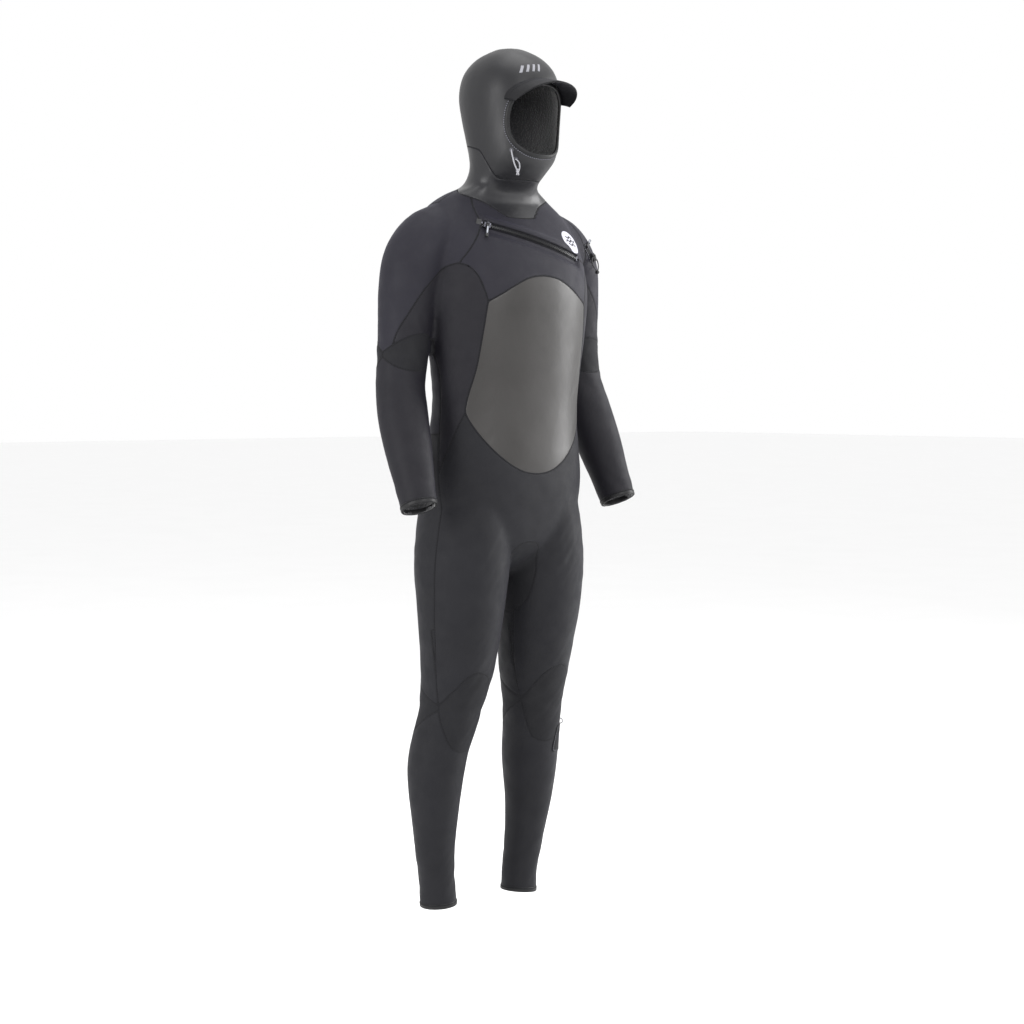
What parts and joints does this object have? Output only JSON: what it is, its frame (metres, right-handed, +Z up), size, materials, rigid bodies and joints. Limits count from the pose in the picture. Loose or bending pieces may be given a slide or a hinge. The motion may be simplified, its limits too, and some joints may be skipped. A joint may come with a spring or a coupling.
{
  "type": "hooded wetsuit",
  "caption": "Full-length hooded wetsuit with a slanting chest zip, peaked hood, shaped knee and elbow panels, and flexing limbs.",
  "frame": {"origin": "midway between the two ankle hems, at the height of their lower edge, where the wearer holds the suit up", "axes": "+Z up along the standing suit, -Y towards the wearer's front, +X towards the wearer's left"},
  "size_m": [0.5776, 0.3054, 1.6851],
  "materials": {
    "hood_jersey": "fine matt jersey",
    "neck_smooth": "smooth satin skin",
    "front_smooth": "smooth satin skin",
    "jersey": "fine matt jersey",
    "stretch_jersey": "fine matt jersey",
    "leg_jersey": "fine matt jersey",
    "knee_pad": "tight ribbed jersey",
    "hem_tape": "matt tape",
    "binding": "matt tape",
    "print_grey": "satin print",
    "badge_grey": "satin print",
    "peak": "satin",
    "zip_plastic": "satin",
    "dull_metal": "satin",
    "bright_metal": "satin",
    "black_plastic": "satin",
    "grey_plastic": "satin",
    "light_cord": "braided",
    "dark_cord": "braided"
  },
  "bodies": {
    "suit": {"hood": "hood_jersey", "neck_panel": "neck_smooth", "chest_flap": "jersey", "chest_panel": "jersey", "front_panel": "front_smooth", "back_panel": "jersey", "underarm_r": "jersey", "underarm_l": "jersey", "shoulder_sleeve_r": "jersey", "shoulder_sleeve_l": "jersey", "lower_front": "leg_jersey", "lower_back": "leg_jersey", "crotch_gusset": "stretch_jersey", "face_binding": "binding", "hood_print": "print_grey", "badge": "badge_grey", "zip_tape": "zip_plastic", "zip_teeth": "zip_plastic", "zip_stops": "dull_metal", "zip_garage": "zip_plastic", "eyelets": "grey_plastic", "hood_cord": "light_cord", "cord_knot": "light_cord", "lock_base": "binding", "cord_lock": "black_plastic", "shoulder_cord": "dark_cord", "cord_bead": "black_plastic", "tab_post": "dull_metal"},
    "forearm_r": {"forearm_r": "jersey", "wrist_hem_r": "hem_tape", "elbow_crook_r": "jersey", "elbow_patch_r": "stretch_jersey"},
    "forearm_l": {"forearm_l": "jersey", "wrist_hem_l": "hem_tape", "elbow_crook_l": "jersey", "elbow_patch_l": "stretch_jersey"},
    "shin_r": {"shin_r": "leg_jersey", "ankle_hem_r": "hem_tape", "knee_pad_r": "knee_pad", "knee_back_r": "leg_jersey"},
    "shin_l": {"shin_l": "leg_jersey", "ankle_hem_l": "hem_tape", "knee_pad_l": "knee_pad", "knee_back_l": "leg_jersey", "key_pocket": "binding", "key_loop": "light_cord"},
    "peak": {"visor": "peak"},
    "slider": {"zip_slider": "dull_metal"},
    "pull": {"pull_strap": "black_plastic", "pull_tube": "bright_metal", "pull_tip": "black_plastic"},
    "tab": {"cord_tab": "black_plastic", "tab_grip": "bright_metal"},
    "button": {"lock_button": "grey_plastic"}
  },
  "joints": [
    {"name": "elbow_r", "type": "hinge", "parent": "suit", "child": "forearm_r", "pos_m": [-0.219, 0.03, 1.09], "axis": [-1, 0, 0], "range_deg": [-8, 60], "stiffness_Nm_per_rad": 2, "deforming": ["elbow_crook_r", "elbow_patch_r"]},
    {"name": "elbow_l", "type": "hinge", "parent": "suit", "child": "forearm_l", "pos_m": [0.219, 0.03, 1.09], "axis": [-1, 0, 0], "range_deg": [-8, 60], "stiffness_Nm_per_rad": 2, "deforming": ["elbow_crook_l", "elbow_patch_l"]},
    {"name": "knee_r", "type": "hinge", "parent": "suit", "child": "shin_r", "pos_m": [-0.105, -0.002, 0.407], "axis": [1, 0, 0], "range_deg": [0, 55], "stiffness_Nm_per_rad": 3, "deforming": ["knee_pad_r", "knee_back_r"]},
    {"name": "knee_l", "type": "hinge", "parent": "suit", "child": "shin_l", "pos_m": [0.105, -0.002, 0.407], "axis": [1, 0, 0], "range_deg": [0, 55], "stiffness_Nm_per_rad": 3, "deforming": ["knee_pad_l", "knee_back_l"]},
    {"name": "peak_flex", "type": "hinge", "parent": "suit", "child": "peak", "pos_m": [0, -0.128, 1.617], "axis": [-1, 0, 0], "range_deg": [0, 25], "stiffness_Nm_per_rad": 0.4},
    {"name": "zip_travel", "type": "hinge", "parent": "suit", "child": "slider", "pos_m": [0.038, 0.172, 1.302], "axis": [0.2605, 0, 0.9655], "range_deg": [0, 44]},
    {"name": "pull_swing", "type": "hinge", "parent": "slider", "child": "pull", "pos_m": [-0.0928, -0.0714, 1.3373], "axis": [-0.2924, -0.7717, 0.5648], "range_deg": [-60, 60]},
    {"name": "tab_swing", "type": "hinge", "parent": "suit", "child": "tab", "pos_m": [0.19, -0.0356, 1.308], "axis": [0.3523, -0.8944, 0.2756], "range_deg": [-40, 40]},
    {"name": "lock_press", "type": "slide", "parent": "suit", "child": "button", "axis": [-0.101, 0.2564, 0.9613], "range_m": [-0.0025, 0], "stiffness_N_per_m": 300}
  ]
}
